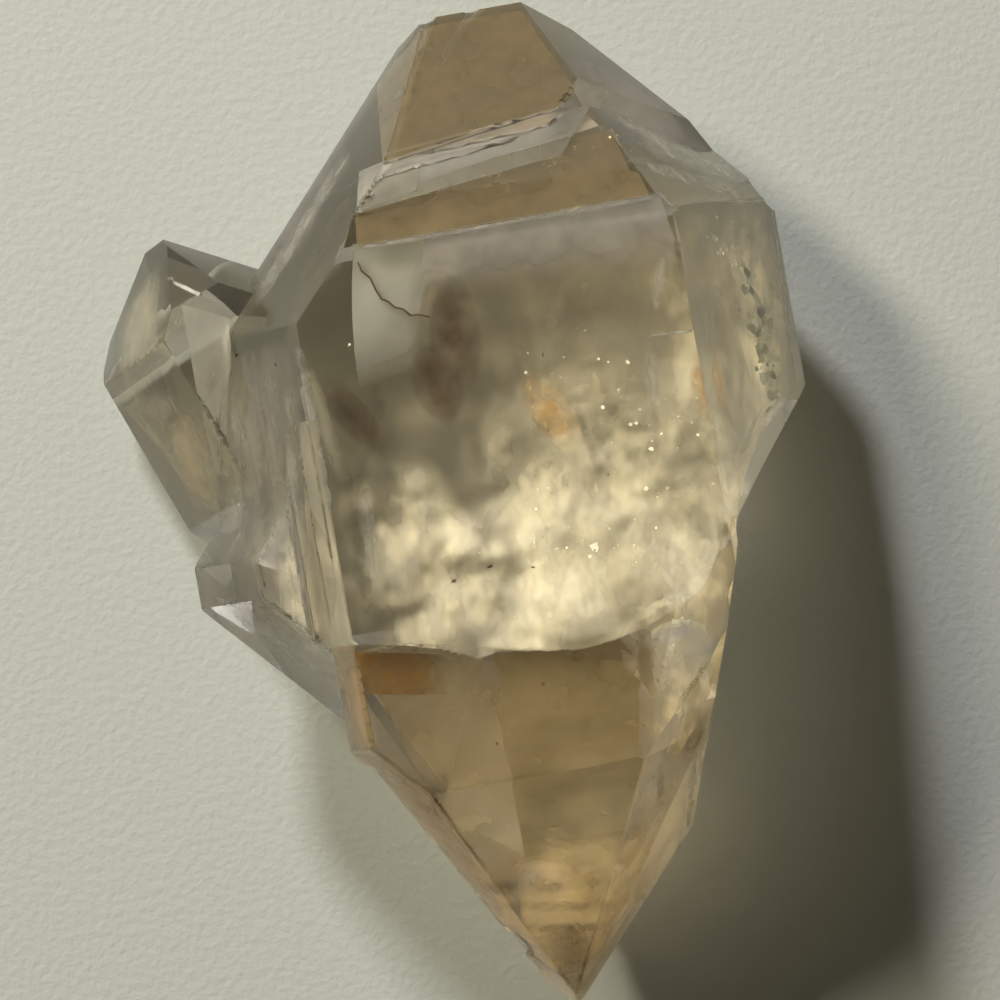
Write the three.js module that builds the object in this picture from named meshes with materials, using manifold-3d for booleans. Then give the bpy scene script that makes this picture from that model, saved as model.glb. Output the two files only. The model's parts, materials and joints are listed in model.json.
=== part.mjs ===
// Double terminated quartz crystal, lying on one of its prism faces.
//
// One grown piece: a main crystal whose lower half is slimmer than its upper half, a flat
// crystal grown parallel to it on the left, and a small double terminated side crystal that
// stands about 20 degrees off. All are one solid.
//
// Millimetres. +Y runs along the main crystal's long axis to its blunt end, +X to the right,
// +Z up from the surface that it lies on.

import * as THREE from 'three';
import { mergeVertices } from 'three/addons/utils/BufferGeometryUtils.js';
import Module from 'manifold-3d';

const wasm = await Module();
wasm.setup();

// Quartz habit, in degrees: a prism face every 60 about the long axis, and a rhombohedral
// face over each, whose normal leans 51.8 from that axis
const FACE_TURN = 60;
const RHOMB_LEAN = 51.8;
const PRISM_LEAN = 90;

// The main crystal's axis runs this high above the surface, half its thickness
const AXIS_HEIGHT = 8.5;

// Upper body: how far each prism face lies from the axis, from the top face on towards +X,
// and the height along the axis at which the rhombohedral face over or under it begins
const UPPER_PRISM = [8.5, 13.35, 14.45, 8.5, 12.05, 12.05];
const UPPER_CROWN = [13.85, 13.1, 13.1, 12.65, 10.15, 10.55];
const UPPER_FOOT = [-8.75, -7.5, -5.0, -5.5, -6.1, -5.45];

// Break across the upper body's lower right corner: its turn about the axis that looks at
// the surface, and its distance from the axis
const BREAK_TURN = -37.9;
const BREAK_DISTANCE = 10.68;

// Cap: a growth layer over the blunt end, on the first two of the upper body's faces. It
// starts a little way along the axis, inside the body. Its edge is a flight of thin steps,
// each given by how far its riser lies from the axis, the riser's turn and how far its tread
// lies out
const CAP_FACES = [0, 1];
const CAP_START = 2;
const CAP_STEPS = [
  { riser: 6.32, turn: 4, tread: 16.46 },
  { riser: 6.44, turn: 6, tread: 16.42 },
  { riser: 6.56, turn: 2.5, tread: 16.33 },
  { riser: 6.72, turn: 5, tread: 16.16 },
];
const CAP_SIDE_RISER = { distance: 8.38, turn: 43 };
const CAP_SIDE_TREAD = 19.35;

// Lower body, slimmer: its faces in the same order, the step that it lies below the upper
// body's top face, and the steep contact face on its right
const LOWER_STEP = 0.6;
const LOWER_PRISM = [AXIS_HEIGHT - LOWER_STEP, 13.1, 7.5, 7.5, 5.75, 11.8];
const LOWER_FOOT = [-13.85, -7.15, -17.2, -19.4, -21.6, -11.1];
const LOWER_HEAD = 3;
const CONTACT_TURN = -17.6;
const CONTACT_DISTANCE = 11.62;

// Wavy edge of the upper body's top layer, left to right, where the lower body begins. The
// layer is cut away from there to well past the sharp end and well over the top face
const LEDGE_CUT_END = -30;
const LEDGE_CUT_HEIGHT = 2;
const LEDGE = [
  [-12, -5.7], [-9, -5.75], [-6.4, -6.25], [-4.5, -6.8], [-2.85, -7.6], [-1.4, -7.45],
  [0.6, -7.75], [2.15, -7.95], [3.9, -7.8], [5.25, -7.5], [6.35, -7.15], [7.45, -6.65],
  [8.55, -6.1], [9.35, -5.2], [9.85, -4.3], [10.7, -4.1], [14, -4],
];

// Parallel crystal on the left side of the upper body
const SLAB_PRISM = [5.6, 0, 0, 6.0, 14.55, 14.2];
const SLAB_CROWN = [3.0, null, null, 1.5, -0.4, -0.7];
const SLAB_FOOT = [-8.0, null, null, -4.0, -2.95, -2.75];
const SLAB_INNER_SIDE = -5;

// Small side crystal: where its axis crosses the main crystal's level, how far it is turned
// in plan, how high its axis lies, and its own faces
const SIDE_ORIGIN = [-7.97, -2.95];
const SIDE_TURN = 20.3;
const SIDE_AXIS_HEIGHT = 5.0;
const SIDE_PRISM = [5.0, 4.8, 5.5, 4.75, 6.95, 4.8];
const SIDE_CROWN = [17.15, 15.6, 12.3, 15.0, 16.5, 15.95];
const SIDE_FOOT = [7.5, 7.2, 5.4, 5.0, 6.0, 7.05];

// Grooves along the left side face, the sixth of the upper body's: height range along the
// axis, distance from the axis along the face, width and depth
const GROOVED_FACE = 5;
const GROOVES = [
  { from: -5.2, to: 3.2, along: -0.9, width: 0.5, depth: 0.22 },
  { from: -4.0, to: 6.6, along: 0.9, width: 0.35, depth: 0.16 },
  { from: -1.5, to: 8.4, along: 2.3, width: 0.3, depth: 0.13 },
];

// Shell-shaped chips: centre on the surface, the way out of the surface, width and depth
const CHIP_SEGMENTS = 48;
const CHIP_RINGS = 32;
const CHIPS = [
  { at: [6.5, -8.7, 16.4], out: [0.1, -0.15, 1], width: 4.0, depth: 0.34 },
  { at: [13.0, 1.2, 11.5], out: [0.8, -0.6, 0.2], width: 5.2, depth: 0.35 },
  { at: [16.0, 13.1, 7.4], out: [0.8, 0.6, 0.1], width: 3.4, depth: 0.5 },
  { at: [0.1, 25.0, 9.8], out: [-0.35, 1, 0.3], width: 1.3, depth: 0.25 },
  { at: [2.3, 25.05, 9.8], out: [0.1, 1, 0.25], width: 1.0, depth: 0.12 },
  { at: [-2.9, -21.9, 7.4], out: [-1, -0.5, 0.3], width: 1.3, depth: 0.22 },
  { at: [11.4, -2.9, 15.8], out: [0.8, -0.5, 0.6], width: 2.4, depth: 0.3 },
  { at: [10.3, -6.6, 16.3], out: [0.9, -0.3, 0.5], width: 2.0, depth: 0.28 },
];

// Notch in the lower body's left side: the steep face below it, the corner in plan where it
// starts, and how far its upper end leans from +X
const NOTCH_FACE = { turn: 240, lean: 96.6, distance: 6.1 };
const NOTCH_START = [-9, -12.15];
const NOTCH_LEAN = 62;

// Cutting blocks are far larger than the crystal; corners closer than the weld distance are
// one corner
const BLOCK_SIZE = 120;
const WELD_DISTANCE = 1e-5;
const UP = new THREE.Vector3(0, 0, 1);

function toSolid(geometry) {
  const bare = geometry.clone();
  bare.deleteAttribute('normal');
  bare.deleteAttribute('uv');
  const merged = mergeVertices(bare, WELD_DISTANCE);
  const vertProperties = new Float32Array(merged.attributes.position.array);
  const triVerts = new Uint32Array(merged.index.array);
  return new wasm.Manifold(new wasm.Mesh({ numProp: 3, vertProperties, triVerts }));
}

// A face is the direction out of it and its distance from the crystal's own origin. Turn is
// counted about the long axis, from the top on towards +X
function face(turn, lean, distance) {
  const turned = THREE.MathUtils.degToRad(turn);
  const leaned = THREE.MathUtils.degToRad(lean);
  const normal = new THREE.Vector3(
    Math.sin(leaned) * Math.sin(turned),
    Math.cos(leaned),
    Math.sin(leaned) * Math.cos(turned),
  );
  return { normal, distance };
}

// The rhombohedral face that meets its prism face at the given height
function rhombFace(index, prismDistance, height, end) {
  const lean = end > 0 ? RHOMB_LEAN : 180 - RHOMB_LEAN;
  const leaned = THREE.MathUtils.degToRad(lean);
  const distance = prismDistance * Math.sin(leaned) + height * Math.cos(leaned);
  return face(index * FACE_TURN, lean, distance);
}

// A face seen edge-on from above, turned from +X about +Z
function uprightFace(turn, distance) {
  const turned = THREE.MathUtils.degToRad(turn);
  const normal = new THREE.Vector3(Math.cos(turned), Math.sin(turned), 0);
  return { normal, distance };
}

function habit(prism, crown, foot) {
  const faces = [];
  prism.forEach((distance, index) => {
    if (distance) {
      faces.push(face(index * FACE_TURN, PRISM_LEAN, distance));
    }
    if (crown && crown[index] !== null) {
      faces.push(rhombFace(index, distance, crown[index], 1));
    }
    if (foot && foot[index] !== null) {
      faces.push(rhombFace(index, distance, foot[index], -1));
    }
  });
  return faces;
}

// The block of space that lies outside a face
function outsideOf({ normal, distance }) {
  const block = new THREE.BoxGeometry(BLOCK_SIZE, BLOCK_SIZE, BLOCK_SIZE);
  block.applyQuaternion(new THREE.Quaternion().setFromUnitVectors(UP, normal));
  const centre = normal.clone().multiplyScalar(distance + BLOCK_SIZE / 2);
  block.translate(centre.x, centre.y, centre.z);
  return toSolid(block);
}

// A crystal is the space inside all of its faces
function crystal(faces) {
  const block = new THREE.BoxGeometry(BLOCK_SIZE, BLOCK_SIZE, BLOCK_SIZE);
  return faces.reduce((solid, each) => solid.subtract(outsideOf(each)), toSolid(block));
}

function upperBody() {
  const faces = habit(UPPER_PRISM, UPPER_CROWN, UPPER_FOOT);
  faces.push(uprightFace(BREAK_TURN, BREAK_DISTANCE));
  return crystal(faces).subtract(belowLedge());
}

// Everything under the wavy edge of the top layer, down to the lower body's top face
function belowLedge() {
  const outline = new THREE.Shape(LEDGE.map(([x, y]) => new THREE.Vector2(x, y)));
  const last = LEDGE[LEDGE.length - 1];
  outline.lineTo(last[0], LEDGE_CUT_END);
  outline.lineTo(LEDGE[0][0], LEDGE_CUT_END);
  const cut = new THREE.ExtrudeGeometry(outline, { depth: LEDGE_CUT_HEIGHT, bevelEnabled: false });
  cut.translate(0, 0, AXIS_HEIGHT - LOWER_STEP);
  return toSolid(cut);
}

function cap({ riser, turn, tread }) {
  const faces = [
    face(turn, PRISM_LEAN, riser),
    face(CAP_SIDE_RISER.turn, PRISM_LEAN, CAP_SIDE_RISER.distance),
    face(0, RHOMB_LEAN, tread),
    face(FACE_TURN, RHOMB_LEAN, CAP_SIDE_TREAD),
  ];
  const behind = habit(
    UPPER_PRISM.map((distance, index) => (CAP_FACES.includes(index) ? 0 : distance)),
    UPPER_CROWN.map((height, index) => (CAP_FACES.includes(index) ? null : height)),
    null,
  );
  const under = { normal: new THREE.Vector3(0, -1, 0), distance: -CAP_START };
  return crystal([...faces, ...behind, under]);
}

function lowerBody() {
  const faces = habit(LOWER_PRISM, null, LOWER_FOOT);
  faces.push(uprightFace(CONTACT_TURN, CONTACT_DISTANCE));
  faces.push({ normal: new THREE.Vector3(0, 1, 0), distance: LOWER_HEAD });
  return crystal(faces).subtract(notch());
}

function notch() {
  const beyond = outsideOf(face(NOTCH_FACE.turn, NOTCH_FACE.lean, NOTCH_FACE.distance));
  const leaned = THREE.MathUtils.degToRad(NOTCH_LEAN);
  const normal = new THREE.Vector3(-Math.cos(leaned), -Math.sin(leaned), 0);
  const startsAt = new THREE.Vector3(...NOTCH_START, 0);
  return beyond.intersect(outsideOf({ normal, distance: normal.dot(startsAt) }));
}

function parallelCrystal() {
  const faces = habit(SLAB_PRISM, SLAB_CROWN, SLAB_FOOT);
  faces.push({ normal: new THREE.Vector3(1, 0, 0), distance: SLAB_INNER_SIDE });
  return crystal(faces);
}

function sideCrystal() {
  const solid = crystal(habit(SIDE_PRISM, SIDE_CROWN, SIDE_FOOT));
  const place = [SIDE_ORIGIN[0], SIDE_ORIGIN[1], SIDE_AXIS_HEIGHT - AXIS_HEIGHT];
  return solid.rotate([0, 0, SIDE_TURN]).translate(place);
}

// A V-shaped channel along the left side face
function groove({ from, to, along, width, depth }) {
  const section = new THREE.Shape();
  section.moveTo(-width / 2, depth);
  section.lineTo(0, -depth);
  section.lineTo(width / 2, depth);
  const cut = new THREE.ExtrudeGeometry(section, { depth: to - from, bevelEnabled: false });
  cut.rotateX(-Math.PI / 2);
  cut.rotateY(Math.PI);
  cut.translate(0, from, 0);
  const side = face(GROOVED_FACE * FACE_TURN, PRISM_LEAN, UPPER_PRISM[GROOVED_FACE]);
  const turn = Math.atan2(side.normal.x, side.normal.z);
  cut.translate(along, 0, 0);
  cut.applyMatrix4(new THREE.Matrix4().makeRotationY(turn));
  cut.translate(side.normal.x * side.distance, 0, side.normal.z * side.distance);
  return toSolid(cut);
}

// A shallow dish, cut by a sphere that reaches in by the depth
function chip({ at, out, width, depth }) {
  const radius = (width * width / 4 + depth * depth) / (2 * depth);
  const ball = new THREE.SphereGeometry(radius, CHIP_SEGMENTS, CHIP_RINGS);
  const centre = new THREE.Vector3(...out).normalize().multiplyScalar(radius - depth);
  ball.translate(at[0] + centre.x, at[1] + centre.y, at[2] + centre.z);
  return toSolid(ball);
}

function toGeometry(solid) {
  const mesh = solid.getMesh();
  const geometry = new THREE.BufferGeometry();
  const places = new Float32Array(mesh.vertProperties);
  geometry.setAttribute('position', new THREE.BufferAttribute(places, 3));
  geometry.setIndex(new THREE.BufferAttribute(new Uint32Array(mesh.triVerts), 1));
  return geometry;
}

let grown = upperBody();
CAP_STEPS.forEach((step) => {
  grown = grown.add(cap(step));
});
grown = grown.add(lowerBody());
grown = grown.add(parallelCrystal());
grown = grown.add(sideCrystal());
GROOVES.forEach((each) => {
  grown = grown.subtract(groove(each));
});
grown = grown.translate([0, 0, AXIS_HEIGHT]);
CHIPS.forEach((each) => {
  grown = grown.subtract(chip(each));
});

// The origin is the bottom centre of the whole piece
const geometry = toGeometry(grown);
geometry.computeBoundingBox();
const middle = geometry.boundingBox.getCenter(new THREE.Vector3());
geometry.translate(-middle.x, -middle.y, -geometry.boundingBox.min.z);

const quartz = new THREE.MeshStandardMaterial({ color: 0xd8c8b4, roughness: 0.08, metalness: 0 });
const crystalMesh = new THREE.Mesh(geometry, quartz);
crystalMesh.name = 'quartz_crystal';

const part = new THREE.Group();
part.add(crystalMesh);

export default part;
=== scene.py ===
import json
import math
import random

import bpy
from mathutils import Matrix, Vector

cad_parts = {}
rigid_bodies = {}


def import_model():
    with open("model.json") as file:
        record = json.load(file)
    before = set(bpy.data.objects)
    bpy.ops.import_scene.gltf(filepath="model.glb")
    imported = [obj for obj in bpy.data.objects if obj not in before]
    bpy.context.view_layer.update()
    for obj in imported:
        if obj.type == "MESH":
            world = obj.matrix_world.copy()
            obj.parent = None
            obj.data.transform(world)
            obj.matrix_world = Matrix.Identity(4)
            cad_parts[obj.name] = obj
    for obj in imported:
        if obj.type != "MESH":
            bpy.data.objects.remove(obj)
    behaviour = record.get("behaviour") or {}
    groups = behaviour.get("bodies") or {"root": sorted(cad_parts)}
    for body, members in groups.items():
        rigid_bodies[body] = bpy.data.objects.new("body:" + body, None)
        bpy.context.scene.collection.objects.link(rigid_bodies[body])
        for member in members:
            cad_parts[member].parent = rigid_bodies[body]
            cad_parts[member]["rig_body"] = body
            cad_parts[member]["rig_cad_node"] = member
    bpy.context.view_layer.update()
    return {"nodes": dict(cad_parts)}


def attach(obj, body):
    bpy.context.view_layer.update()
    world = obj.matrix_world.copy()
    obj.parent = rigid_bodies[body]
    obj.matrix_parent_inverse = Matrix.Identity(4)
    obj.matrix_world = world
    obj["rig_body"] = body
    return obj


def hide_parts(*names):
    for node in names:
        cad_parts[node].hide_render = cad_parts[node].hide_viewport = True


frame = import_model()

MM = 0.001
bpy.ops.object.select_all(action="DESELECT")

# The camera looks straight down on the crystal's broad top face, turned so that the long axis
# leans a little to the left. It stands far enough off that the sides stay nearly upright.
CAMERA_AIM = Vector((1.41, 0.72, 17.0)) * MM
CAMERA_DISTANCE = 300 * MM
CAMERA_ROLL = -10.0
FIELD_WIDTH = 50 * MM
SENSOR_WIDTH = 36.0
NEAREST_SEEN = 0.01
FARTHEST_SEEN = 10

bpy.ops.object.camera_add(location=CAMERA_AIM + Vector((0, 0, CAMERA_DISTANCE)))
camera = bpy.context.object
camera.name = "camera"
camera.rotation_euler = (0, 0, math.radians(CAMERA_ROLL))
camera.data.sensor_width = SENSOR_WIDTH
camera.data.lens = SENSOR_WIDTH * CAMERA_DISTANCE / FIELD_WIDTH
camera.data.clip_start = NEAREST_SEEN
camera.data.clip_end = FARTHEST_SEEN
bpy.context.scene.camera = camera

# A sheet of plain paper, pressed from pulp and slightly rough. The crystal lies loose on it, and
# it is only the stage.
PAPER_SIZE = 3.0
PAPER_GAP = 0.02 * MM
PAPER_COLOUR = (0.60, 0.60, 0.515, 1)
PULP_SCALE = 2300
PULP_RELIEF = 0.07 * MM

bpy.ops.mesh.primitive_plane_add(size=PAPER_SIZE, location=(0, 0, -PAPER_GAP))
paper = bpy.context.object
paper.name = "paper"
paper_finish = bpy.data.materials.new("rough_pale_paper")
paper_finish.use_nodes = True
nodes, links = paper_finish.node_tree.nodes, paper_finish.node_tree.links
shader = nodes["Principled BSDF"]
shader.inputs["Base Color"].default_value = PAPER_COLOUR
shader.inputs["Roughness"].default_value = 0.9
shader.inputs["Specular IOR Level"].default_value = 0.1
place = nodes.new("ShaderNodeTexCoord")
pulp = nodes.new("ShaderNodeTexNoise")
pulp.inputs["Scale"].default_value = PULP_SCALE
pulp.inputs["Detail"].default_value = 2
relief = nodes.new("ShaderNodeBump")
relief.inputs["Strength"].default_value = 0.6
relief.inputs["Distance"].default_value = PULP_RELIEF
links.new(place.outputs["Object"], pulp.inputs["Vector"])
links.new(pulp.outputs["Fac"], relief.inputs["Height"])
links.new(relief.outputs["Normal"], shader.inputs["Normal"])
paper.data.materials.append(paper_finish)

# Two desk lamps behind the blunt end, a warm one further to the left and a cool, lower one
# nearly straight behind, with a dim, warm room light all round.
WARM_LAMP = {"toward": (-0.511, 0.575, 0.639), "distance": 0.6, "size": 0.13, "watts": 2.25}
COOL_LAMP = {"toward": (-0.225, 0.837, 0.499), "distance": 0.6, "size": 0.09, "watts": 3.05}
WARM_COLOUR = (1.0, 0.97, 0.84)
COOL_COLOUR = (0.88, 0.91, 1.0)
ROOM_COLOUR = (1.0, 0.96, 0.80, 1)
ROOM_STRENGTH = 0.045

for name, lamp, colour in (("warm", WARM_LAMP, WARM_COLOUR), ("cool", COOL_LAMP, COOL_COLOUR)):
    toward = Vector(lamp["toward"]).normalized()
    bpy.ops.object.light_add(type="AREA", location=toward * lamp["distance"])
    panel = bpy.context.object
    panel.name = name + "_lamp"
    panel.data.shape = "DISK"
    panel.data.size = lamp["size"]
    panel.data.energy = lamp["watts"]
    panel.data.color = colour
    panel.rotation_euler = toward.to_track_quat("Z", "Y").to_euler()

room = bpy.data.worlds.new("room")
room.use_nodes = True
room.node_tree.nodes["Background"].inputs["Color"].default_value = ROOM_COLOUR
room.node_tree.nodes["Background"].inputs["Strength"].default_value = ROOM_STRENGTH
room.cycles.sampling_method = "NONE"
bpy.context.scene.world = room
bpy.context.scene.view_settings.view_transform = "Standard"

# Light goes in through a facet, off a film or two and out again within six bounces, and past
# no more than eight films in a row.
INSIDE_BOUNCES = 6
FILMS_IN_A_ROW = 8
bpy.context.scene.cycles.use_light_tree = False
bpy.context.scene.cycles.max_bounces = INSIDE_BOUNCES
bpy.context.scene.cycles.transmission_bounces = INSIDE_BOUNCES
bpy.context.scene.cycles.transparent_max_bounces = FILMS_IN_A_ROW

# The crystal: one piece of clear, slightly smoky quartz, grown with flat glassy faces. Its
# edges are very slightly rounded by wear, and its under side is etched dull where it grew
# against other crystals.
QUARTZ_IOR = 1.544
WELD_DISTANCE = 0.002 * MM
FLAT_WITHIN = math.radians(0.6)
WORN_EDGE = 0.06 * MM
EDGE_SHARPER_THAN = math.radians(20)
SMOOTH_BELOW = math.radians(18)

cad_crystal = frame["nodes"]["quartz_crystal"]
crystal = cad_crystal.copy()
crystal.data = cad_crystal.data.copy()
crystal.name = "grown_crystal"
crystal.parent = None
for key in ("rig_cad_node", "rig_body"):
    del crystal[key]
bpy.context.scene.collection.objects.link(crystal)
bpy.context.view_layer.objects.active = crystal
crystal.select_set(True)
bpy.ops.object.mode_set(mode="EDIT")
bpy.ops.mesh.select_all(action="SELECT")
bpy.ops.mesh.remove_doubles(threshold=WELD_DISTANCE)
bpy.ops.mesh.dissolve_limited(angle_limit=FLAT_WITHIN)
bpy.ops.mesh.customdata_custom_splitnormals_clear()
bpy.ops.object.mode_set(mode="OBJECT")
bevel = crystal.modifiers.new("worn_edges", "BEVEL")
bevel.width = WORN_EDGE
bevel.segments = 2
bevel.limit_method = "ANGLE"
bevel.angle_limit = EDGE_SHARPER_THAN
bevel.use_clamp_overlap = True
bpy.ops.object.modifier_apply(modifier=bevel.name)
bpy.ops.object.shade_smooth_by_angle(angle=SMOOTH_BELOW)

# How dull each face is: the faces that look down are etched, in full where they lean half over,
# and the narrow faces along the worn edges are frosted.
ETCH_STARTS = 0.25
ETCH_GROWS = 4
ETCHED_ROUGHNESS = 0.4
GLASSY_ROUGHNESS = 0.02
WORN_ROUGHNESS = 0.30
WORN_WIDTH = 0.09 * MM

etched = crystal.data.attributes.new("etched", "FLOAT", "FACE")
worn = crystal.data.attributes.new("worn", "FLOAT", "FACE")
corners = crystal.data.vertices
for face in crystal.data.polygons:
    etching = (-face.normal.z - ETCH_STARTS) * ETCH_GROWS
    etched.data[face.index].value = min(1.0, max(0.0, etching))
    rim = sum((corners[one].co - corners[other].co).length for one, other in face.edge_keys)
    worn.data[face.index].value = 1.0 if 2 * face.area / rim < WORN_WIDTH / 2 else 0.0

# Facets tinted for smoke or iron of their own and, in part, with painted shade: the shadowed paper
# and darker colours mirrored inside, seen through them. Each is known by its outward direction and
# its distance from the origin.
FACET_SMOKE_AND_SHADE = [
    # direction, distance mm, colour
    ((0.0, 0.0, 1.0), 16.4, (0.80, 0.70, 0.50)),
    ((0.0, -0.62, 0.79), 21.1, (1.0, 0.94, 0.78)),
    ((0.68, -0.62, 0.39), 19.0, (0.94, 0.86, 0.70)),
    ((-0.68, -0.62, 0.39), 17.8, (0.97, 0.85, 0.68)),
    ((-0.87, 0.0, 0.5), 14.4, (0.90, 0.74, 0.54)),
    ((0.0, 0.62, 0.79), 23.5, (0.80, 0.72, 0.56)),
    ((0.0, 0.62, 0.79), 22.3, (0.92, 0.84, 0.66)),
    ((-0.81, -0.3, 0.5), 12.9, (0.86, 0.82, 0.66)),
    ((-0.85, 0.34, 0.39), 20.0, (1.0, 0.95, 0.82)),
]
SAME_DIRECTION = 0.999
SAME_DISTANCE = 0.12 * MM
CLEAR = (0.985, 0.925, 0.80)
SLIM_END_BELOW = -8 * MM
# The slim end's tint is partly its smoke and partly painted shade: the shadowed paper under it, seen
# through.
SLIM_END_SMOKE_AND_SHADE = (0.97, 0.90, 0.76)
LEDGE_RUST = (0.70, 0.54, 0.34)
LEDGE_LOW = 15.9 * MM
LEDGE_HIGH = 16.9 * MM
LEDGE_STEEPER_THAN = 0.8


def multiply(one, other):
    return tuple(a * b for a, b in zip(one, other))


facet_smoke_and_shade = crystal.data.attributes.new("facet_smoke_and_shade", "FLOAT_COLOR", "FACE")
for face in crystal.data.polygons:
    tone = CLEAR
    for direction, distance, colour in FACET_SMOKE_AND_SHADE:
        outward = Vector(direction).normalized()
        lies_there = abs(face.center.dot(outward) - distance * MM) < SAME_DISTANCE
        if face.normal.dot(outward) > SAME_DIRECTION and lies_there:
            tone = multiply(tone, colour)
    if face.center.y < SLIM_END_BELOW:
        tone = multiply(tone, SLIM_END_SMOKE_AND_SHADE)
    on_ledge = LEDGE_LOW < face.center.z < LEDGE_HIGH and face.center.y < 0
    if on_ledge and face.normal.z < LEDGE_STEEPER_THAN:
        tone = multiply(tone, LEDGE_RUST)
    facet_smoke_and_shade.data[face.index].color = (*tone, 1)

quartz = bpy.data.materials.new("smoky_quartz")
quartz.use_nodes = True
tree = quartz.node_tree
nodes, links = tree.nodes, tree.links
shader = nodes["Principled BSDF"]
shader.inputs["IOR"].default_value = QUARTZ_IOR
shader.inputs["Transmission Weight"].default_value = 1.0
facet_colour = nodes.new("ShaderNodeAttribute")
facet_colour.attribute_name = "facet_smoke_and_shade"
links.new(facet_colour.outputs["Color"], shader.inputs["Base Color"])

etch = nodes.new("ShaderNodeAttribute")
etch.attribute_name = "etched"
dull = nodes.new("ShaderNodeMath")
dull.operation = "MULTIPLY_ADD"
dull.inputs[1].default_value = ETCHED_ROUGHNESS
edge_wear = nodes.new("ShaderNodeAttribute")
edge_wear.attribute_name = "worn"
polish = nodes.new("ShaderNodeMapRange")
polish.inputs["To Min"].default_value = GLASSY_ROUGHNESS
polish.inputs["To Max"].default_value = WORN_ROUGHNESS
links.new(edge_wear.outputs["Fac"], polish.inputs["Value"])
links.new(etch.outputs["Fac"], dull.inputs[0])
links.new(polish.outputs["Result"], dull.inputs[2])
links.new(dull.outputs["Value"], shader.inputs["Roughness"])

crystal.data.materials.clear()
crystal.data.materials.append(quartz)
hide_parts("quartz_crystal")
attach(crystal, "root")

# Healed veils: cloudy sheets inside the stone, where old cracks closed again round countless
# tiny gas bubbles. They hang in the middle of the thick end, densest low on the right, and
# stop at the ledge. Each is one wavy sheet, thinning out to nothing at its rim.
HALF_COVERED = 0.35
GATHER_FROM = 0.32
GATHER_TO = 0.68
RIM_SHARPNESS = 5


def film_cover():
    # how much of a film is there at each place: torn at its rim, and gathered in grains
    group = bpy.data.node_groups.new("film_cover", "ShaderNodeTree")
    face = group.interface
    face.new_socket("Vector", in_out="INPUT", socket_type="NodeSocketVector")
    for name, start in (
        ("Fade", 1.0), ("Grain mm", 1.5), ("Ragged", 0.8),
        ("Softness", 0.3), ("Wispy", 0.5), ("Strength", 0.6),
    ):
        face.new_socket(name, in_out="INPUT", socket_type="NodeSocketFloat").default_value = start
    face.new_socket("Cover", in_out="OUTPUT", socket_type="NodeSocketFloat")
    nodes, links = group.nodes, group.links
    given = nodes.new("NodeGroupInput").outputs
    out = nodes.new("NodeGroupOutput")

    def work_out(operation, *values, clamp=False):
        # a Math node, given numbers or other nodes' outputs
        step = nodes.new("ShaderNodeMath")
        step.operation = operation
        step.use_clamp = clamp
        for socket, value in zip(step.inputs, values):
            if isinstance(value, (int, float)):
                socket.default_value = value
            else:
                links.new(value, socket)
        return step.outputs["Value"]

    torn = nodes.new("ShaderNodeTexNoise")
    torn.inputs["Detail"].default_value = 2
    torn.inputs["Roughness"].default_value = 0.5
    links.new(given["Vector"], torn.inputs["Vector"])
    links.new(work_out("DIVIDE", 1 / MM, given["Grain mm"]), torn.inputs["Scale"])
    grains = torn.outputs["Fac"]

    torn_fade = work_out(
        "MULTIPLY_ADD", work_out("SUBTRACT", grains, 0.5), given["Ragged"], given["Fade"]
    )
    edge = nodes.new("ShaderNodeMapRange")
    edge.interpolation_type = "SMOOTHSTEP"
    links.new(torn_fade, edge.inputs["Value"])
    links.new(work_out("SUBTRACT", HALF_COVERED, given["Softness"]), edge.inputs["From Min"])
    links.new(work_out("ADD", HALF_COVERED, given["Softness"]), edge.inputs["From Max"])

    gather = nodes.new("ShaderNodeMapRange")
    gather.inputs["From Min"].default_value = GATHER_FROM
    gather.inputs["From Max"].default_value = GATHER_TO
    links.new(grains, gather.inputs["Value"])
    even = work_out("SUBTRACT", 1, given["Wispy"])
    body = work_out("MULTIPLY_ADD", gather.outputs["Result"], given["Wispy"], even)

    rim = work_out("MULTIPLY", given["Fade"], RIM_SHARPNESS, clamp=True)
    whole = work_out("MULTIPLY", edge.outputs["Result"], body)
    closed = work_out("MULTIPLY", whole, rim)
    links.new(work_out("MULTIPLY", closed, given["Strength"], clamp=True), out.inputs["Cover"])
    return group


def film_finish(
    name, colour, roughness, metallic, grain, ragged, softness, wispy, strength, stretch=1
):
    # a film throws light back like a dull metal; grain is in mm, and stretch draws it out along y
    finish = bpy.data.materials.new(name)
    finish.use_nodes = True
    tree = finish.node_tree
    shader = tree.nodes["Principled BSDF"]
    shader.inputs["Base Color"].default_value = (*colour, 1)
    shader.inputs["Roughness"].default_value = roughness
    shader.inputs["Metallic"].default_value = metallic
    shader.inputs["Specular IOR Level"].default_value = 0.0
    place = tree.nodes.new("ShaderNodeTexCoord")
    fade = tree.nodes.new("ShaderNodeAttribute")
    fade.attribute_name = "fade"
    cover = tree.nodes.new("ShaderNodeGroup")
    cover.node_tree = bpy.data.node_groups.get("film_cover") or film_cover()
    along = tree.nodes.new("ShaderNodeVectorMath")
    along.operation = "MULTIPLY"
    along.inputs[1].default_value = (1, 1 / stretch, 1)
    tree.links.new(place.outputs["Object"], along.inputs[0])
    tree.links.new(along.outputs["Vector"], cover.inputs["Vector"])
    tree.links.new(fade.outputs["Fac"], cover.inputs["Fade"])
    cover.inputs["Grain mm"].default_value = grain
    cover.inputs["Ragged"].default_value = ragged
    cover.inputs["Softness"].default_value = softness
    cover.inputs["Wispy"].default_value = wispy
    cover.inputs["Strength"].default_value = strength
    tree.links.new(cover.outputs["Cover"], shader.inputs["Alpha"])
    return finish


OVER_ALL = 30
BROAD_FACE_LOW = 16.7 * MM
FADES_WITHIN = 0.4 * MM
SWELL_LENGTH = 3.5 * MM
DOWN = Vector((0, 0, -1))


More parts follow.
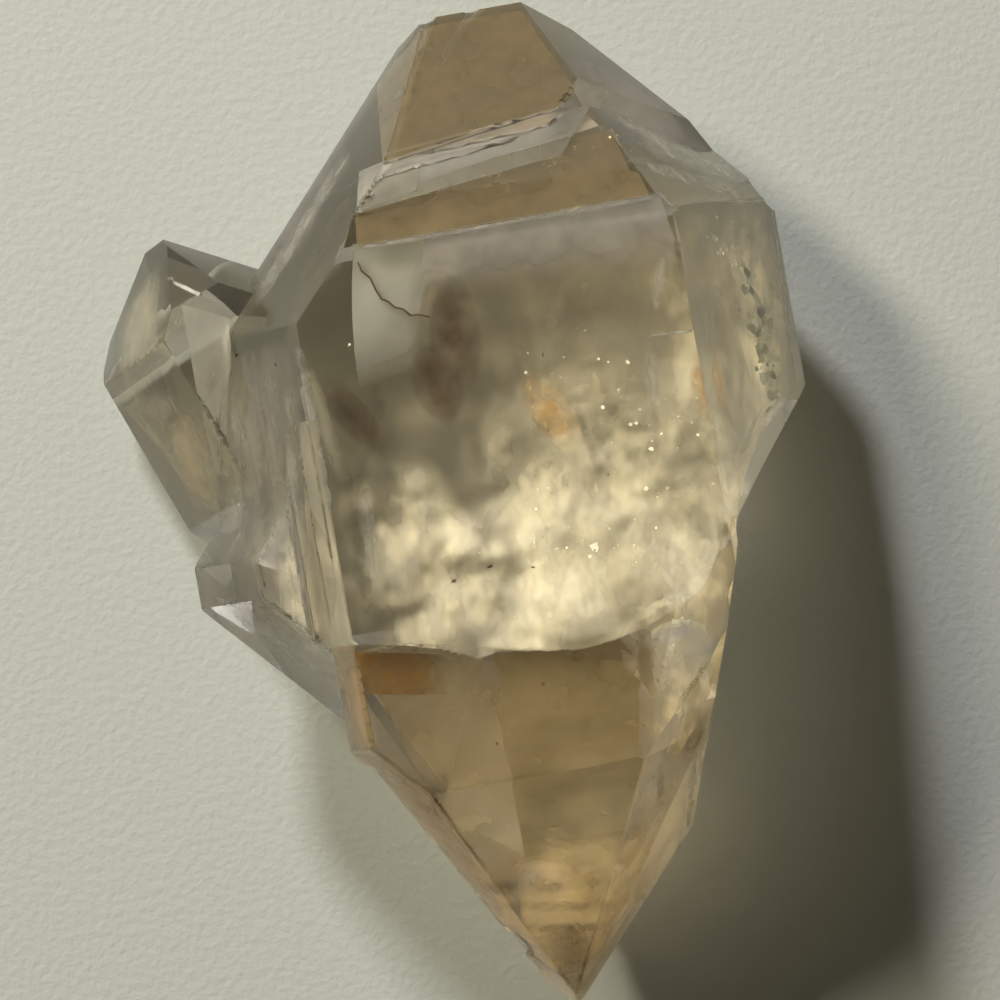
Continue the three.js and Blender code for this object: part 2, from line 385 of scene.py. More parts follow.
def skin_near(place):
    # how high the skin is straight above a place, and how deep the place lies in the stone
    met, above, _, _ = crystal.ray_cast(Vector((place.x, place.y, OVER_ALL * MM)), DOWN)
    _, nearest, normal, _ = crystal.closest_point_on_mesh(place)
    return (above.z if met else 0), ((nearest - place).dot(normal) if met else -MM)


def cut_away(film, unwanted):
    bpy.ops.object.mode_set(mode="EDIT")
    bpy.context.tool_settings.mesh_select_mode = (False, False, True)
    bpy.ops.mesh.select_all(action="DESELECT")
    bpy.ops.object.mode_set(mode="OBJECT")
    for index in unwanted:
        film.data.polygons[index].select = True
    bpy.ops.object.mode_set(mode="EDIT")
    bpy.ops.mesh.delete(type="FACE")
    bpy.ops.object.mode_set(mode="OBJECT")


def add_film(name, finish, centre, size, tilt, waves, cuts=30, corner=2, under=None):
    # centre, size and waves in mm, tilt in degrees; a higher corner squares the sheet's outline,
    # and under "broad face" ends it at the ledge
    bpy.ops.object.select_all(action="DESELECT")
    bpy.ops.mesh.primitive_grid_add(x_subdivisions=cuts, y_subdivisions=cuts, size=1 * MM)
    film = bpy.context.object
    film.name = name
    half = 0.5 * MM
    strength = []
    for point in film.data.vertices:
        along = abs(point.co.x) / half
        across = abs(point.co.y) / half
        strength.append(max(0.0, 1 - (along ** corner + across ** corner) ** (1 / corner)))
    film.scale = (size[0], size[1], 1)
    film.rotation_euler = [math.radians(angle) for angle in tilt]
    film.location = Vector(centre) * MM
    bpy.ops.object.transform_apply(location=True, rotation=True, scale=True)
    fade = film.data.attributes.new("fade", "FLOAT", "POINT")
    for index, value in enumerate(strength):
        fade.data[index].value = value
    swell = bpy.data.textures.get("swell") or bpy.data.textures.new("swell", "CLOUDS")
    swell.noise_scale = SWELL_LENGTH
    lift = film.modifiers.new("swell", "DISPLACE")
    lift.texture = swell
    lift.texture_coords = "LOCAL"
    lift.direction = "Z"
    lift.mid_level = 0.5
    lift.strength = 2 * waves * MM
    bpy.ops.object.modifier_apply(modifier=lift.name)
    fade = film.data.attributes["fade"]
    outside = set()
    for point in film.data.vertices:
        above, depth = skin_near(point.co)
        fade.data[point.index].value *= min(1, max(0, depth / FADES_WITHIN))
        if under == "broad face" and above < BROAD_FACE_LOW and point.co.y < 0:
            fade.data[point.index].value = 0
        if depth <= 0:
            outside.add(point.index)
    # what is outside the stone goes, and so does what has thinned out to nothing
    unwanted = []
    for face in film.data.polygons:
        bare = not any(fade.data[index].value > 0 for index in face.vertices)
        if bare or not outside.isdisjoint(face.vertices):
            unwanted.append(face.index)
    cut_away(film, unwanted)
    bpy.ops.object.shade_smooth()
    film.data.materials.append(finish)
    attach(film, "root")


# colour, roughness, metallic, grain, ragged, softness, wispy, strength, stretch
dense_veil = film_finish("dense_veil", (1.0, 0.93, 0.72), 0.42, 1.0, 1.4, 0.45, 0.7, 0.3, 0.98, 1.8)
loose_veil = film_finish("loose_veil", (1.0, 0.90, 0.64), 0.5, 1.0, 1.3, 0.8, 0.7, 0.6, 0.66, 1.8)
bright_veil = film_finish("bright_veil", (1.0, 0.92, 0.70), 0.5, 1.0, 1.0, 0.9, 0.8, 0.6, 0.6, 1.8)
left_haze = film_finish("left_haze", (0.90, 0.79, 0.56), 0.6, 1.0, 1.8, 0.8, 0.8, 0.5, 0.36, 1.5)

# The sheets lean with the cloud, up toward the sharp end and a little to the right.
LEAN = (-14, -7, 0)
BROAD = {"cuts": 60, "under": "broad face"}
add_film("veil_core", dense_veil, (5.2, -4.4, 6.0), (15.0, 8.6), LEAN, 0.45, **BROAD)
add_film("veil_low", dense_veil, (4.4, -4.8, 3.4), (25.0, 13.0), (-13, -5, 0), 0.6, corner=3, **BROAD)
add_film("veil_middle", loose_veil, (4.2, -2.6, 8.0), (21.0, 13.0), (-12, -6, 10), 0.6, **BROAD)
add_film("veil_high", loose_veil, (6.4, 1.4, 10.4), (15.0, 13.0), (-13, -8, -12), 0.5, **BROAD)
add_film("veil_left", loose_veil, (-3.6, -1.4, 9.4), (8.0, 13.0), (-13, -6, 8), 0.45, **BROAD)
add_film("veil_right", loose_veil, (13.6, 5.4, 8.0), (10.0, 19.0), LEAN, 0.35, cuts=60)
add_film("veil_low_right", bright_veil, (10.0, -4.6, 13.8), (6.6, 8.0), LEAN, 0.25, corner=3)
add_film("veil_heart", bright_veil, (4.3, -3.8, 12.2), (7.5, 6.0), LEAN, 0.35)
add_film("veil_slab", dense_veil, (-9.0, -0.8, 12.2), (3.2, 11.0), LEAN, 0.2)
add_film("veil_side", bright_veil, (-14.6, 6.6, 4.2), (5.4, 10.0), (-15.5, -1.6, 20), 0.2, corner=3)
add_film("veil_slim_right", bright_veil, (8.7, -11.0, 12.4), (4.4, 9.6), LEAN, 0.25)
add_film("veil_top", left_haze, (5.0, 8.6, 10.0), (20.0, 13.0), LEAN, 0.6, corner=4)

# Thin films left by growth pauses, smoke and dust of iron shut in as the crystal grew on: greyish
# lavender ones under the crown, and broad smoky and amber ones that fill the slim end and its tip.
# The dark brown and olive sheets at the foot of the window are painted shade: the paper lying in the
# stone's own shadow, seen through it.
# colour, roughness, metallic, grain, ragged, softness, wispy, strength
lavender_film = film_finish("lavender_film", (0.70, 0.66, 0.65), 0.8, 0.7, 3.5, 0.7, 0.35, 0.3, 0.6)
painted_shade_film = film_finish("painted_shade_film", (0.16, 0.09, 0.05), 0.9, 0.0, 1.6, 0.7, 0.8, 0.3, 0.85)
painted_olive_shade = film_finish("painted_olive_shade", (0.30, 0.28, 0.20), 0.9, 0.0, 2.2, 0.9, 0.5, 0.4, 0.3)
amber_tip = film_finish("amber_tip", (1.0, 0.82, 0.52), 0.5, 1.0, 1.4, 0.6, 0.8, 0.4, 0.8)
peach_glow = film_finish("peach_glow", (1.0, 0.84, 0.64), 0.5, 1.0, 1.3, 0.7, 0.8, 0.5, 0.7)
amber_haze = film_finish("amber_haze", (0.90, 0.74, 0.46), 0.6, 1.0, 1.6, 0.5, 0.8, 0.4, 0.28)
smoky_film = film_finish("smoky_film", (1.0, 0.85, 0.56), 0.5, 1.0, 1.6, 0.4, 0.8, 0.35, 0.42)
add_film("crown_left_film", lavender_film, (-4.5, 16.5, 6.0), (6.0, 11.0), (-8, -13, -32), 0.4)
add_film("crown_right_film", lavender_film, (10.6, 17.6, 7.0), (12.0, 7.0), (-7, -14, -38), 0.4)
# Painted shade: dark brown sheets where the paper under the stone lies in its shadow and shows
# through.
add_film("brown_shade_right", painted_shade_film, (0.6, 9.0, 12.6), (2.8, 7.0), (0, 0, -6), 0.4)
add_film("brown_shade_core", painted_shade_film, (-0.7, 6.9, 12.9), (2.6, 4.6), (0, 0, 10), 0.3)
add_film("brown_shade_left", painted_shade_film, (-5.0, 6.0, 12.0), (1.8, 5.0), (0, 0, 30), 0.4)
# Painted shade as well: an olive-dark sheet over the shadowed paper seen through the stone.
add_film("olive_shade", painted_olive_shade, (5.0, 9.8, 12.6), (11.0, 4.0), (0, 0, -6), 0.4)
add_film("smoke_slim_lower", smoky_film, (1.2, -18.4, 5.2), (15.0, 15.0), LEAN, 0.3, corner=3)
add_film("smoke_tip", amber_tip, (0.2, -20.2, 6.8), (9.0, 11.6), LEAN, 0.12, corner=4)
add_film("smoke_slim_left", smoky_film, (-3.2, -13.8, 7.6), (7.0, 9.0), LEAN, 0.3, corner=4)
add_film("smoke_left_edge", peach_glow, (-3.6, -16.2, 9.5), (1.8, 15.0), (-15.6, 0, 26.6), 0.2)
add_film("smoke_slim_upper", amber_haze, (1.6, -10.4, 8.4), (19.0, 8.0), LEAN, 0.3, corner=4)

# Iron stain: rusty orange films in the middle of the cloud, by the right edge and near the
# sharp tip, where iron-bearing water crept along healed cracks and left its rust.
# colour, roughness, metallic, grain, ragged, softness, wispy, strength
iron_film = film_finish("iron_film", (0.96, 0.62, 0.24), 0.7, 0.3, 0.8, 0.7, 0.6, 0.4, 0.8)
iron_bloom = film_finish("iron_bloom", (0.90, 0.62, 0.30), 0.8, 0.1, 1.6, 0.9, 0.6, 0.5, 0.35)
add_film("iron_middle", iron_film, (4.6, 4.6, 14.0), (2.2, 5.0), (-14, -7, 25), 0.2)
add_film("iron_right", iron_film, (12.4, 4.6, 13.6), (1.6, 4.6), LEAN, 0.2)
add_film("iron_tip", iron_bloom, (1.6, -22.6, 4.0), (5.0, 4.4), (0, 0, 0), 0.3)
add_film("iron_left_tip", iron_bloom, (-2.6, -19.4, 5.6), (1.6, 8.0), (0, 0, 38), 0.3)
add_film("iron_slim_band", iron_bloom, (-2.2, -16.6, 8.0), (5.0, 3.0), (0, 0, 20), 0.3)

# Layers just under the skin, most left by pauses in growth: tan and rusty washes, the cream strip by
# the left edge, and pale and dark growth lines. The window and the lavender sheen are painted light,
# the lit paper under the stone seen through its top; the brown washes are smoke with painted shade
# in part, and the pale lines laid along edges are painted highlights. Each is one strip between four
# corners, settled on the skin from above and let in a little.
BESIDE_STONE = 8
SIDE_FADE = 3
END_FADE = 3


def add_skin_film(
    name, finish, corners, fades=(1, 1), bulge=(0, 0), depth=0.3, cuts=14, soft=True, slim=False
):
    # corners in plan from the top left round; fades at top and foot; bulge of the left and right
    # edges, and depth, in mm; soft is all round or "right"; slim keeps off the broad face
    top_left, top_right, low_right, low_left = [Vector(corner) for corner in corners]
    bpy.ops.object.select_all(action="DESELECT")
    bpy.ops.mesh.primitive_grid_add(x_subdivisions=cuts, y_subdivisions=cuts, size=2 * MM)
    film = bpy.context.object
    film.name = name
    fade = film.data.attributes.new("fade", "FLOAT", "POINT")
    for point in film.data.vertices:
        along = (point.co.x / MM + 1) / 2
        down = (1 - point.co.y / MM) / 2
        bow = 4 * down * (1 - down)
        left = top_left.lerp(low_left, down) + Vector((bulge[0] * bow, 0))
        right = top_right.lerp(low_right, down) + Vector((bulge[1] * bow, 0))
        spot = left.lerp(right, along)
        met, place, normal, _ = crystal.ray_cast(Vector((spot.x, spot.y, OVER_ALL)) * MM, DOWN)
        if not met:
            beside = Vector((spot.x, spot.y, BESIDE_STONE)) * MM
            _, place, normal, _ = crystal.closest_point_on_mesh(beside)
        point.co = place - normal * depth * MM
        strength = fades[0] + (fades[1] - fades[0]) * down
        if soft == "right":
            strength *= min(1, SIDE_FADE * (1 - along))
        elif soft:
            strength *= (1 - abs(2 * along - 1)) * (1 - abs(2 * down - 1) ** END_FADE)
        if slim and place.z > BROAD_FACE_LOW:
            strength = 0
        fade.data[point.index].value = strength
    bpy.ops.object.shade_smooth()
    film.data.materials.append(finish)
    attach(film, "root")


# colour, roughness, metallic, grain, ragged, softness, wispy, strength, stretch
# Painted reflection: a pale sheet where the top shows the lit paper under the stone's upper edge.
window_painted_light = film_finish("window_painted_light", (1.0, 0.99, 0.88), 0.55, 0.8, 3.0, 0.2, 0.5, 0.1, 1.0)
pearl = film_finish("pearl", (0.98, 0.95, 0.84), 0.55, 0.6, 1.6, 0.6, 0.5, 0.4, 0.7, 2)
# Painted sheen: the lit paper under the stone's upper edge, seen through the top face.
cool_painted_sheen = film_finish("cool_painted_sheen", (0.84, 0.80, 0.78), 0.6, 0.5, 2.0, 0.35, 0.5, 0.3, 0.7)
# Painted highlights: pale lines laid along the edges where they catch the light.
painted_edge_highlight = film_finish("painted_edge_highlight", (0.98, 0.96, 0.90), 0.5, 0.6, 0.8, 0.7, 0.5, 0.5, 0.8)
milky_streak = film_finish("milky_streak", (0.94, 0.90, 0.80), 0.6, 0.5, 0.6, 1.0, 0.6, 0.7, 0.5, 3)
dark_streak = film_finish("dark_streak", (0.22, 0.17, 0.11), 0.8, 0.0, 0.6, 1.0, 0.6, 0.6, 0.4, 3)
edge_cream = film_finish("edge_cream", (1.0, 0.92, 0.72), 0.5, 0.8, 1.2, 0.4, 0.6, 0.25, 0.9, 3)
cream_strip = film_finish("cream_strip", (1.0, 0.92, 0.72), 0.5, 0.7, 1.2, 0.4, 0.6, 0.25, 0.55, 3)
mauve_film = film_finish("mauve_film", (0.80, 0.74, 0.63), 0.7, 0.4, 1.0, 0.6, 0.8, 0.5, 0.5, 5)
peach_film = film_finish("peach_film", (1.0, 0.86, 0.66), 0.6, 0.5, 1.3, 0.8, 0.6, 0.4, 0.7, 3)
# Smoke of the cap in part, and in part painted shade: darker colours mirrored inside the cap facets.
brown_smoke_and_shade = film_finish("brown_smoke_and_shade", (0.52, 0.43, 0.31), 0.7, 0.2, 2.2, 0.3, 1.2, 0.3, 0.75)
tan_wash = film_finish("tan_wash", (0.84, 0.70, 0.47), 0.7, 0.3, 1.6, 0.4, 0.8, 0.4, 0.4)
rust_wash = film_finish("rust_wash", (0.56, 0.35, 0.12), 0.8, 0.1, 0.9, 0.7, 0.8, 0.3, 0.85)
yellow_wash = film_finish("yellow_wash", (1.0, 0.88, 0.60), 0.6, 0.3, 2.0, 0.4, 0.8, 0.4, 0.35, 0.4)

CRISP_PATCHES = [
    # name, finish, fades at top and foot, depth mm, four corners from the top left round
    # Painted sheen of the lit paper, seen through the top of the broad face.
    ("lavender_painted_sheen", cool_painted_sheen, (1, 0), 1.2,
     [(-0.1, 14.2), (11.9, 14.2), (12.4, 10.6), (-0.6, 11.4)]),
    # Smoke and, in part, painted shade mirrored inside the cap.
    ("cap_wash", brown_smoke_and_shade, (0.8, 0.9), 0.5,
     [(-1.0, 25.4), (6.8, 25.4), (9.2, 19.6), (-1.6, 18.6)]),
    ("band_wash", brown_smoke_and_shade, (0.7, 0.9), 0.5,
     [(-3.2, 17.0), (10.4, 18.4), (11.4, 14.7), (-3.4, 14.7)]),
    # Partly a milky growth step, partly painted sheen of the lit paper seen through it.
    ("step_milk_and_sheen", cool_painted_sheen, (1, 0.7), 0.3,
     [(-2.8, 18.4), (8.6, 20.0), (9.6, 18.6), (-3.2, 16.6)]),
    ("step_cream", pearl, (1, 0.7), 0.25,
     [(-3.0, 17.6), (0.4, 18.2), (0.0, 16.8), (-3.2, 16.2)]),
    ("side_top_strip", pearl, (1, 0.7), 0.3,
     [(-12.9, 13.4), (-10.6, 12.3), (-12.2, 4.2), (-12.9, 4.8)]),
    ("flank_low_facet", mauve_film, (1, 1), 0.3,
     [(-14.0, -1.6), (-8.8, -3.6), (-7.6, -7.6), (-11.6, -5.0)]),
    ("cream_edge_strip", edge_cream, (0.4, 1), 0.25,
     [(-7.9, 6.3), (-7.2, 6.3), (-7.25, -5.5), (-9.3, -5.0)]),
]
for name, finish, fades, depth, corners in CRISP_PATCHES:
    add_skin_film(name, finish, corners, fades, depth=depth, cuts=24, soft=False)

# The window's brightness is a painted reflection of the lit paper under the stone, seen through the
# top.
WINDOW_CORNERS = [(-3.6, 14.15), (1.2, 14.15), (-0.4, 8.2), (-4.5, 7.4)]
add_skin_film(
    "window_painted_light", window_painted_light, WINDOW_CORNERS,
    fades=(1, 0.1), bulge=(-0.2, -0.6), depth=2.3, cuts=24, soft="right",
)

RUST_PATCH_CORNERS = [(-7.1, -5.5), (-2.8, -6.4), (-2.9, -8.4), (-6.9, -7.7)]
add_skin_film(
    "ledge_rust_patch", rust_wash, RUST_PATCH_CORNERS,
    fades=(1, 0.8), depth=0.3, cuts=48, soft="right", slim=True,
)

SLIM_END_PATCHES = [
    # name, finish, fades at top and foot, depth mm, four corners from the top left round
    ("lower_top_wash", tan_wash, (1, 0.7), 0.4,
     [(-7.0, -5.5), (9.4, -5.5), (6.4, -13.1), (-4.7, -13.1)]),
    ("triangle_glow", yellow_wash, (0.6, 1), 0.3,
     [(-4.6, -13.3), (6.3, -13.3), (0.95, -25.2), (0.85, -25.2)]),
    ("slim_right_wash", tan_wash, (0.9, 0.8), 0.3,
     [(6.6, -13.3), (9.8, -12.6), (1.5, -25.0), (1.1, -25.0)]),
]
for name, finish, fades, depth, corners in SLIM_END_PATCHES:
    add_skin_film(name, finish, corners, fades, depth=depth, cuts=48, soft=False, slim=True)

SOFT_PATCHES = [
    # name, finish, four corners from the top left round
    ("flank_mauve_top", mauve_film, [(-12.8, 10.0), (-7.4, 11.0), (-7.0, 2.6), (-13.0, 2.0)]),
    ("flank_mauve_foot", mauve_film, [(-13.6, 2.6), (-8.4, 3.0), (-7.8, -5.4), (-13.4, -3.0)]),
    ("side_pearl", pearl, [(-17.0, 13.4), (-13.6, 16.4), (-13.6, 11.6), (-17.4, 9.8)]),
    ("side_grey", dark_streak, [(-16.6, 10.0), (-14.0, 10.6), (-13.8, 7.2), (-15.6, 6.4)]),
    ("side_peach", peach_film, [(-15.4, 7.8), (-12.8, 8.4), (-12.6, 2.6), (-14.8, 2.8)]),
    ("right_cream", cream_strip, [(12.6, 9.6), (15.8, 9.8), (15.6, 1.0), (12.8, -0.8)]),
    ("slab_cream", pearl, [(-9.8, 3.0), (-8.3, 3.4), (-8.3, -3.8), (-9.9, -3.2)]),
    ("slim_right_cream", cream_strip, [(9.0, -8.2), (10.8, -8.8), (9.4, -14.6), (8.0, -13.8)]),
    ("slim_left_peach", peach_film, [(-8.4, -10.6), (-5.4, -10.8), (0.6, -25.0), (-1.4, -25.0)]),
    ("slim_left_foot", peach_film, [(-8.2, -5.6), (-6.9, -5.8), (-6.6, -10.6), (-8.0, -10.4)]),
    ("tip_cream", peach_film, [(-0.4, -21.2), (2.8, -21.2), (1.8, -24.6), (0.2, -24.6)]),
]
for name, finish, corners in SOFT_PATCHES:
    add_skin_film(name, finish, corners, cuts=32)

GROWTH_LINES = [
    # name, finish, from, to, width mm
    # Pale thin lines laid along edges (the top edge, the ridge foot, the flank edge and foot, the
    # side) are painted highlights, not growth lines.
    ("top_edge_highlight_left", painted_edge_highlight, (-3.6, 14.34), (0.6, 14.32), 0.30),
    ("top_edge_highlight_middle", painted_edge_highlight, (0.3, 14.32), (6.3, 14.34), 0.24),
    ("top_edge_highlight_right", painted_edge_highlight, (5.7, 14.34), (11.9, 14.30), 0.40),
    ("crown_line_long", milky_streak, (9.7, 19.6), (16.6, 14.8), 0.7),
    ("crown_line_low", milky_streak, (10.8, 16.4), (16.2, 14.2), 0.9),
    ("crown_band", milky_streak, (11.6, 17.6), (16.6, 15.0), 1.2),
    ("crown_left_line", milky_streak, (-9.6, 12.4), (-3.0, 19.8), 0.8),
    ("crown_left_shade", dark_streak, (-6.8, 13.0), (-2.6, 18.6), 0.8),
    ("ridge_long", milky_streak, (11.9, 12.4), (10.6, 8.4), 0.6),
    ("ridge_foot", painted_edge_highlight, (10.0, 7.5), (12.5, 7.4), 0.24),
    ("ridge_shade", dark_streak, (12.4, 12.0), (11.5, 8.0), 0.9),
    ("ridge_lower", milky_streak, (10.3, 7.6), (9.5, 2.8), 0.8),
    ("cloud_groove", dark_streak, (5.9, 4.8), (6.9, -0.6), 0.7),
    ("left_streak_one", milky_streak, (-5.2, 3.0), (-5.5, -2.7), 0.8),
    ("left_streak_dark", dark_streak, (-6.0, 4.4), (-6.1, -4.0), 0.9),
    ("left_streak_high", dark_streak, (-3.4, 7.6), (-5.6, 2.4), 1.2),
    ("left_wedge", cream_strip, (-6.9, 9.0), (-6.2, 3.0), 0.9),
    ("flank_streak_one", milky_streak, (-10.8, 8.6), (-12.4, 1.5), 1.0),
    ("flank_streak_two", dark_streak, (-9.5, 9.4), (-10.8, 1.0), 0.8),
    ("flank_streak_three", milky_streak, (-8.2, 8.4), (-9.0, 2.2), 0.8),
    ("flank_streak_four", dark_streak, (-11.8, 8.2), (-13.2, 1.4), 0.6),
    ("flank_edge", painted_edge_highlight, (-7.4, 10.4), (-7.2, 1.6), 0.5),
    ("flank_foot_line", painted_edge_highlight, (-13.4, -2.6), (-10.4, -5.0), 0.4),
    ("side_line_one", painted_edge_highlight, (-13.8, 15.2), (-10.8, 13.0), 0.26),
    ("side_line_two", milky_streak, (-16.4, 10.6), (-13.8, 12.4), 0.5),
    ("side_line_three", milky_streak, (-14.8, 9.4), (-13.2, 5.8), 0.6),
    ("slim_streak_one", dark_streak, (7.2, -13.8), (6.8, -16.2), 0.5),
    ("slim_streak_two", milky_streak, (8.8, -14.8), (8.1, -17.8), 0.5),
    ("slim_streak_three", dark_streak, (-3.7, -12.2), (-4.8, -14.9), 1.1),
    ("slim_band_one", milky_streak, (-3.0, -18.8), (4.6, -19.6), 0.8),
    ("slim_band_two", dark_streak, (-2.2, -19.9), (4.0, -20.8), 0.7),
    ("slim_band_three", milky_streak, (-1.2, -21.2), (3.4, -21.9), 0.6),
]
for name, finish, start, end, width in GROWTH_LINES:
    start, end = Vector(start), Vector(end)
    side = (end - start).orthogonal().normalized() * width / 2
    add_skin_film(name, finish, [start - side, start + side, end + side, end - side])

# One open crack runs from the clear window to the brown smear. It is a narrow, nearly upright
# gap that opened under a knock, seen edge-on as a thin dark line.
CRACK_PATH = [
    (-3.5, 13.6), (-3.38, 13.14), (-3.02, 12.7), (-2.87, 12.1), (-2.66, 11.6), (-2.38, 11.43),
    (-2.09, 11.08), (-1.67, 10.9), (-1.37, 10.54), (-0.92, 10.5), (-0.45, 10.28),
]
CRACK_TOP = 15.4
CRACK_DEPTH = 0.6
CRACK_SLANT = 0.03
CRACK_OPENING = 0.02 * MM


def plain_finish(name, colour, roughness, metallic=0.0):
    finish = bpy.data.materials.new(name)
    finish.use_nodes = True
    shader = finish.node_tree.nodes["Principled BSDF"]
    shader.inputs["Base Color"].default_value = (*colour, 1)
    shader.inputs["Roughness"].default_value = roughness
    shader.inputs["Metallic"].default_value = metallic
    return finish


crack_finish = plain_finish("open_crack", (0.30, 0.23, 0.16), 0.7)
bpy.ops.object.select_all(action="DESELECT")
bpy.ops.mesh.primitive_grid_add(x_subdivisions=len(CRACK_PATH) - 1, y_subdivisions=2, size=2 * MM)
crack = bpy.context.object
crack.name = "open_crack"
for point in crack.data.vertices:
    step = round((point.co.x / MM + 1) / 2 * (len(CRACK_PATH) - 1))
    level = point.co.y / MM
    x, y = CRACK_PATH[step]
    slant = CRACK_SLANT * level
    height = CRACK_TOP + CRACK_DEPTH * (level - 1) / 2
    point.co = Vector((x + slant, y + slant, height)) * MM
thicken = crack.modifiers.new("opening", "SOLIDIFY")
thicken.thickness = CRACK_OPENING
bpy.ops.object.modifier_apply(modifier=thicken.name)
crack.data.materials.append(crack_finish)
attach(crack, "root")

# Glints: scattered flat gas-filled flakes that throw back the lamps as small sparks. They lie
# inside the stone, tipped half way between a lamp and straight up, as the bent beams see them.
FLAKE_CORNERS = 5
FLAKE_OUTLINE = (0.55, 1.3)
FLAKE_COVER = 0.35 * MM
SCATTER = 0.5
ZONE_TIP = 0.12
SPARK_TIP = 0.02
BRIGHTEST_TIP = 0.01
TOP_FACE = Vector((0, 0, 1))
RIGHT_FACE = Vector((0.866, 0, 0.5))
GLINT_ZONES = [
    # centre mm, reach mm, face normal, how many, least and greatest size mm
    ((5.0, -2.0, 12.5), (5.0, 4.0, 1.5), (0, 0, 1), 26, 0.06, 0.20),
    ((9.5, 3.0, 12.0), (3.4, 6.0, 1.5), (0, 0, 1), 30, 0.05, 0.24),
    ((5.8, 6.0, 12.5), (4.5, 3.0, 1.5), (0, 0, 1), 16, 0.05, 0.18),
    ((15.2, 6.8, 9.0), (1.0, 4.6, 1.0), (0.866, 0, 0.5), 80, 0.14, 0.75),
    ((-10.5, 7.5, 6.8), (1.6, 4.0, 1.5), (-0.5, 0, 0.866), 16, 0.06, 0.2),
    ((-13.5, 12.5, 6.0), (1.8, 2.0, 1.5), (-0.3, 0.3, 0.9), 10, 0.06, 0.18),
    ((0.5, -13.0, 10.0), (4.5, 4.0, 2.0), (0, -0.2, 0.98), 18, 0.04, 0.10),
    ((8.6, -14.0, 7.0), (1.2, 4.0, 1.5), (0.7, -0.3, 0.6), 14, 0.06, 0.22),
    ((8.6, 16.6, 12.5), (4.0, 1.0, 0.8), (0, 0.6, 0.8), 30, 0.06, 0.26),
    ((13.6, 11.5, 9.5), (1.8, 1.8, 1.2), (0.5, 0.4, 0.77), 24, 0.06, 0.26),
]
BRIGHTEST = [
    # centre mm, size mm
    ((5.62, -2.52, 13.4), 0.55), ((5.3, -2.9, 13.2), 0.25), ((9.2, 1.9, 13.6), 0.26),
    ((8.6, 0.0, 13.6), 0.26), ((9.3, 2.3, 13.4), 0.16), ((11.6, 2.2, 13.6), 0.22),
    ((-4.6, 9.6, 14.0), 0.16), ((-4.2, 9.2, 14.0), 0.12), ((7.2, 4.4, 13.6), 0.22),
    ((7.4, 6.8, 13.2), 0.2),
]
RIGHT_SPARKS = [
    # centre mm, size mm
    ((14.9, 10.8, 10.0), 0.5), ((15.2, 9.6, 9.4), 0.8), ((15.5, 8.4, 9.0), 0.5),
    ((14.7, 7.2, 10.2), 0.4), ((15.1, 5.6, 9.5), 0.5), ((13.4, 11.9, 11.5), 0.4),
    ((13.2, 6.4, 13.0), 0.5), ((13.0, 4.6, 13.0), 0.35),
]
glint_finish = plain_finish("gas_flake", (1.0, 0.98, 0.78), 0.28, metallic=1.0)
lamp_ways = [Vector(lamp["toward"]).normalized() for lamp in (WARM_LAMP, COOL_LAMP)]
chance = random.Random(11)
flakes = []


def into_stone(direction, normal):
    # the direction a beam takes just inside a flat face
    flat = (direction - normal * direction.dot(normal)) / QUARTZ_IOR
    return flat + normal * math.sqrt(1 - flat.length_squared)


def well_inside(place_mm):
    place = Vector(place_mm) * MM
    _, nearest, normal, _ = crystal.closest_point_on_mesh(place)
    return (nearest - place).dot(normal) > FLAKE_COVER


def add_flake(centre, normal, size, jitter):
    lamp = lamp_ways[chance.randrange(len(lamp_ways))]
    facing = (into_stone(TOP_FACE, normal) + into_stone(lamp, normal)).normalized()
    facing += Vector([chance.uniform(-jitter, jitter) for _ in range(3)])
    bpy.ops.mesh.primitive_circle_add(
        vertices=FLAKE_CORNERS, radius=size * MM / 2, fill_type="NGON",
        location=Vector(centre) * MM, rotation=facing.to_track_quat("Z", "Y").to_euler(),
    )
    flake = bpy.context.object
    for point in flake.data.vertices:
        point.co *= chance.uniform(*FLAKE_OUTLINE)
    flakes.append(flake)


def join_pieces(pieces, name, finish):
    bpy.ops.object.select_all(action="DESELECT")
    for piece in pieces:
        piece.select_set(True)
    bpy.context.view_layer.objects.active = pieces[0]
    bpy.ops.object.join()
    joined = bpy.context.object
    joined.name = name
    bpy.ops.object.transform_apply(location=True, rotation=True, scale=True)
    joined.data.materials.append(finish)
    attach(joined, "root")


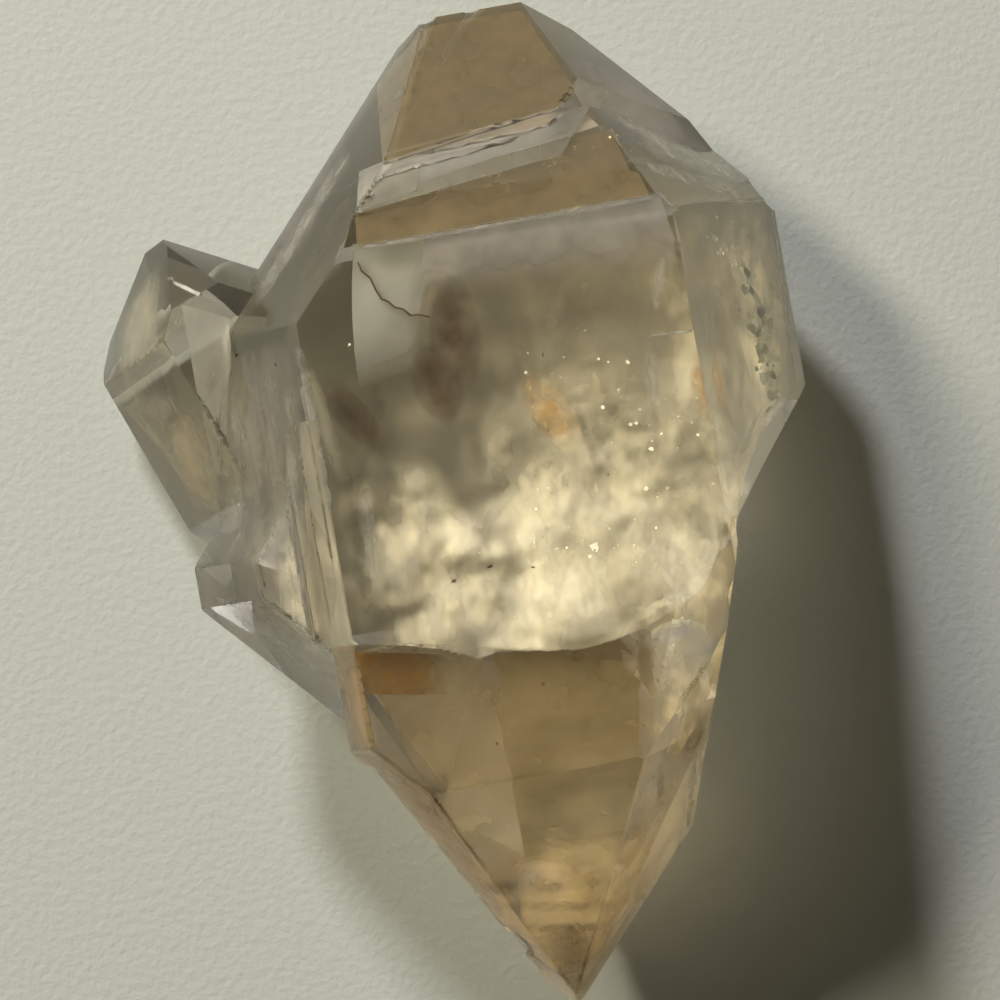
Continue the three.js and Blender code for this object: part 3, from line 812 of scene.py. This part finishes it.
for centre, reach, normal, count, least, greatest in GLINT_ZONES:
    for _ in range(count):
        spot = [c + r * chance.gauss(0, SCATTER) for c, r in zip(centre, reach)]
        if well_inside(spot):
            size = chance.uniform(least, greatest)
            add_flake(spot, Vector(normal).normalized(), size, ZONE_TIP)
for centre, size in BRIGHTEST:
    add_flake(centre, TOP_FACE, size, BRIGHTEST_TIP)
for centre, size in RIGHT_SPARKS:
    add_flake(centre, RIGHT_FACE, size, SPARK_TIP)
join_pieces(flakes, "gas_flakes", glint_finish)

# Dark crumbs: specks and short streaks of a dark mineral that settled on the crystal while it
# grew, and were grown over.
CRUMB_OUTLINE = (0.6, 1.2)
CRUMBS = [
    # centre mm, half-lengths mm, turn degrees
    ((-1.6, -2.9, 14.0), (0.14, 0.08, 0.06), 20), ((0.3, -2.5, 14.0), (0.14, 0.07, 0.06), 10),
    ((2.4, -2.9, 14.0), (0.12, 0.06, 0.06), -10), ((5.6, -2.6, 14.6), (0.05, 0.06, 0.05), 0),
    ((-4.5, -13.4, 13.0), (0.12, 0.3, 0.1), 30), ((-0.85, -11.3, 15.4), (0.07, 0.1, 0.06), 0),
    ((-9.6, 10.3, 8.6), (0.12, 0.1, 0.1), 0), ((-7.4, 9.4, 12.0), (0.12, 0.1, 0.1), 0),
    ((1.7, 16.2, 14.0), (0.05, 0.5, 0.08), 0), ((-0.2, 17.5, 14.2), (0.4, 0.1, 0.08), 25),
]
crumbs = []
for centre, reach, turn in CRUMBS:
    bpy.ops.mesh.primitive_ico_sphere_add(
        subdivisions=2, radius=1 * MM, location=Vector(centre) * MM
    )
    crumb = bpy.context.object
    for point in crumb.data.vertices:
        point.co *= chance.uniform(*CRUMB_OUTLINE)
    crumb.scale = reach
    crumb.rotation_euler = (0, 0, math.radians(turn))
    crumbs.append(crumb)
join_pieces(crumbs, "dark_crumbs", plain_finish("dark_crumb", (0.16, 0.12, 0.08), 0.8))

# Films, flakes and crumbs are far too thin to darken the paper: only the stone throws a shadow.
for piece in bpy.context.scene.objects:
    if piece.type == "MESH" and piece not in (crystal, paper):
        piece.visible_shadow = False
